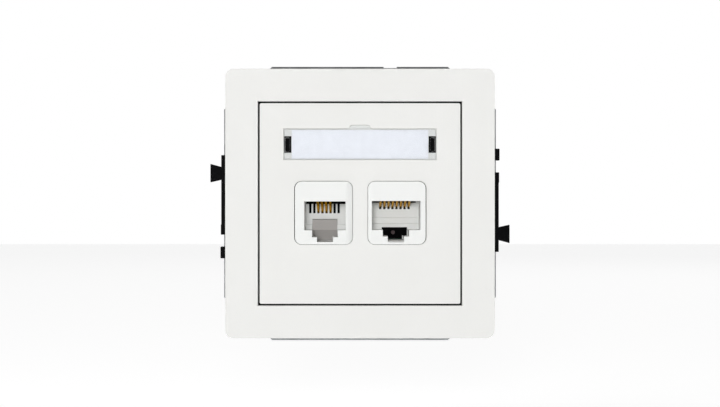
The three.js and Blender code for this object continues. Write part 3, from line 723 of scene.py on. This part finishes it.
def spring_wires(prefix):
    """Round-edged wires: along the ceiling pocket, round the front bend, and down into the comb."""
    jack = JACKS[prefix]
    hub = Vector((WIRE_BEND_DEPTH, WIRE_HEIGHT - WIRE_BEND))
    end = Vector((WIRE_TIP, jack["wire_end"]))
    to_end = end - hub
    heading = math.atan2(to_end.y, to_end.x) + math.asin(WIRE_BEND / to_end.length)
    start, turned = math.pi / 2, heading + math.pi
    shares = [step / WIRE_BEND_STEPS for step in range(WIRE_BEND_STEPS + 1)]
    angles = [start + turned * share for share in shares]
    bend = [hub + WIRE_BEND * Vector((math.cos(angle), math.sin(angle))) for angle in angles]
    half_width, half_thickness = WIRE_SECTION
    section = [
        (half_width * MM * squared(math.cos(angle)), half_thickness * MM * squared(math.sin(angle)))
        for angle in circle(WIRE_SIDES)
    ]
    for index in range(jack["wires"]):
        from_middle = index - (jack["wires"] - 1) / 2
        x = jack["centre"][0] + jack["comb_shift"] + from_middle * WIRE_PITCH
        outline = [Vector((WIRE_TAIL, WIRE_HEIGHT)), *bend, end]
        path = [Vector((x, y, z + jack["centre"][1])) * MM for y, z in outline]
        node = f"{prefix}_contact_{index + 1}"
        shape = swept(path, Vector((1.0, 0.0, 0.0)), section)
        piece(f"{node}_wire", shape, body_of(node), SLOTS[node], [node])


def latch_peg():
    """The small domed peg that shows through the data jack's latch notch."""
    x, z = PEG_PLACE
    node = "rj45_contact_block"
    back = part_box(node)[0][1] / MM
    rings = [
        [
            Vector((x + radius * math.cos(turn), back - proud, z + radius * math.sin(turn))) * MM
            for turn in circle(PEG_SIDES)
        ]
        for radius, proud in PEG_PROFILE
    ]
    piece("rj45_latch_peg", skinned(rings), body_of(node), SLOTS[node], look="smoky_plastic")


def screw_thread(end, up):
    """The claw screw's thread: a helix ridge with a flat crest on the shank."""
    start, stop = THREAD
    steps = round((stop - start) / THREAD_PITCH * THREAD_STEPS)
    rings = []
    for step in range(steps + 1):
        angle = math.tau * step / THREAD_STEPS
        y = start + THREAD_PITCH * step / THREAD_STEPS
        run_out = min(1.0, step / THREAD_STEPS, (steps - step) / THREAD_STEPS)
        crest = THREAD_ROOT + (THREAD_CREST - THREAD_ROOT) * max(run_out, THREAD_RUN_OUT)
        ridge = (
            (THREAD_ROOT, -THREAD_FOOT),
            (crest, -THREAD_EDGE),
            (crest, THREAD_EDGE),
            (THREAD_ROOT, THREAD_FOOT),
        )
        ring = []
        for radius, along in ridge:
            x = radius * math.cos(angle)
            z = up * CLAW_SCREW_HEIGHT + radius * math.sin(angle)
            ring.append(Vector((x, y + along, z)) * MM)
        rings.append(ring)
    node = f"claw_screw_{end}"
    piece(f"claw_thread_{end}", skinned(rings), body_of(node), SLOTS[node])


cover()
insert()
coupler("left")
coupler("right")
label_window()
latch_peg()
for prefix in JACKS:
    jack_housing(prefix)
    spring_wires(prefix)
for end, up in (("top", 1), ("bottom", -1)):
    screw_thread(end, up)
for node in sorted(set(NODES) - REPLACED):
    finished(node, dict(radius=ROUNDED.get(node, SMALL_ROUNDING), segments=2))

# ---------------------------------------------------------------- camera, floor and light, in metres

CAMERA_DISTANCE = 0.41
LENS = 81.7
SENSOR_WIDTH = 36.0
CLIP_START = 0.01
FLOOR_HEIGHT = -0.06
FLOOR_HALF = 2.0
FLOOR_CELLS = 8
FLOOR_COLOUR = (0.9, 0.9, 0.9, 1.0)
FLOOR_ROUGHNESS = 0.9
FLOOR_GLOW = (0.05, 0.45)  # a light table, dim in front of the outlet and brighter behind it
FLOOR_SPAN = (-0.1, 0.08)  # depths between which it brightens
WHITE = (1.0, 1.0, 1.0, 1.0)
WORLD_GLOW = (0.15, 0.75)  # behind the camera, and from the sides and behind the outlet
WORLD_SPAN = (-1.0, 0.1)  # the direction's Y, between which it brightens
SIDE_SHARE = (1.1, 0.55)  # of that glow, from the left and from the right
LAMPS = {  # place, size, watts, and whether it shows as a highlight
    "key": ((-0.03, -0.6, 0.05), 0.11, 2.05, False),
    "fill": ((-0.5, -0.5, 0.4), 0.3, 0.4, True),
    "rim": ((0.3, 0.9, 0.7), 0.8, 0.5, True),
}


def camera():
    made = placed("camera", bpy.data.cameras.new("camera"))
    made.data.lens = LENS
    made.data.sensor_width = SENSOR_WIDTH
    made.data.clip_start = CLIP_START
    made.location = (0.0, -CAMERA_DISTANCE, 0.0)
    made.rotation_euler = (math.pi / 2, 0.0, 0.0)
    bpy.context.scene.camera = made


def floor():
    shape = bmesh.new()
    bmesh.ops.create_grid(shape, x_segments=FLOOR_CELLS, y_segments=FLOOR_CELLS, size=FLOOR_HALF)
    mesh = bpy.data.meshes.new("floor")
    shape.to_mesh(mesh)
    shape.free()
    recipe = Recipe("floor")
    depth = recipe.add("ShaderNodeSeparateXYZ", {"Vector": recipe.place}).outputs["Y"]
    recipe.set(
        Base_Color=FLOOR_COLOUR,
        Roughness=FLOOR_ROUGHNESS,
        Emission_Color=WHITE,
        Emission_Strength=recipe.between(depth, *FLOOR_GLOW, *FLOOR_SPAN),
    )
    mesh.materials.append(MATERIALS["floor"])
    made = placed("floor", mesh)
    made.location = (0.0, 0.0, FLOOR_HEIGHT)


def lamps():
    for name, (place, size, power, glints) in LAMPS.items():
        lamp = placed(name, bpy.data.lights.new(name, "AREA"))
        lamp.data.size = size
        lamp.data.energy = power
        lamp.visible_glossy = glints
        lamp.location = place
        lamp.rotation_euler = (-Vector(place)).to_track_quat("-Z", "Y").to_euler()


def studio_world():
    """A white backdrop for the camera, and a softer glow that lights the outlet."""
    world = bpy.data.worlds.new("studio")
    world.use_nodes = True
    sky = Tree(world.node_tree)
    place = sky.add("ShaderNodeTexCoord").outputs["Generated"]
    direction = sky.add("ShaderNodeSeparateXYZ", {"Vector": place}).outputs
    share = sky.between(direction["X"], *SIDE_SHARE, start=-1.0, end=1.0)
    glow = sky.between(direction["Y"], *WORLD_GLOW, *WORLD_SPAN, interpolation_type="SMOOTHSTEP")
    in_view = sky.add("ShaderNodeLightPath").outputs["Is Camera Ray"]
    background = sky.tree.nodes["Background"]
    sky.put(background.inputs["Color"], WHITE)
    strength = sky.compute("MAXIMUM", sky.compute("MULTIPLY", glow, share), in_view)
    sky.put(background.inputs["Strength"], strength)
    bpy.context.scene.world = world
    bpy.context.scene.view_settings.view_transform = "Standard"


camera()
floor()
lamps()
studio_world()
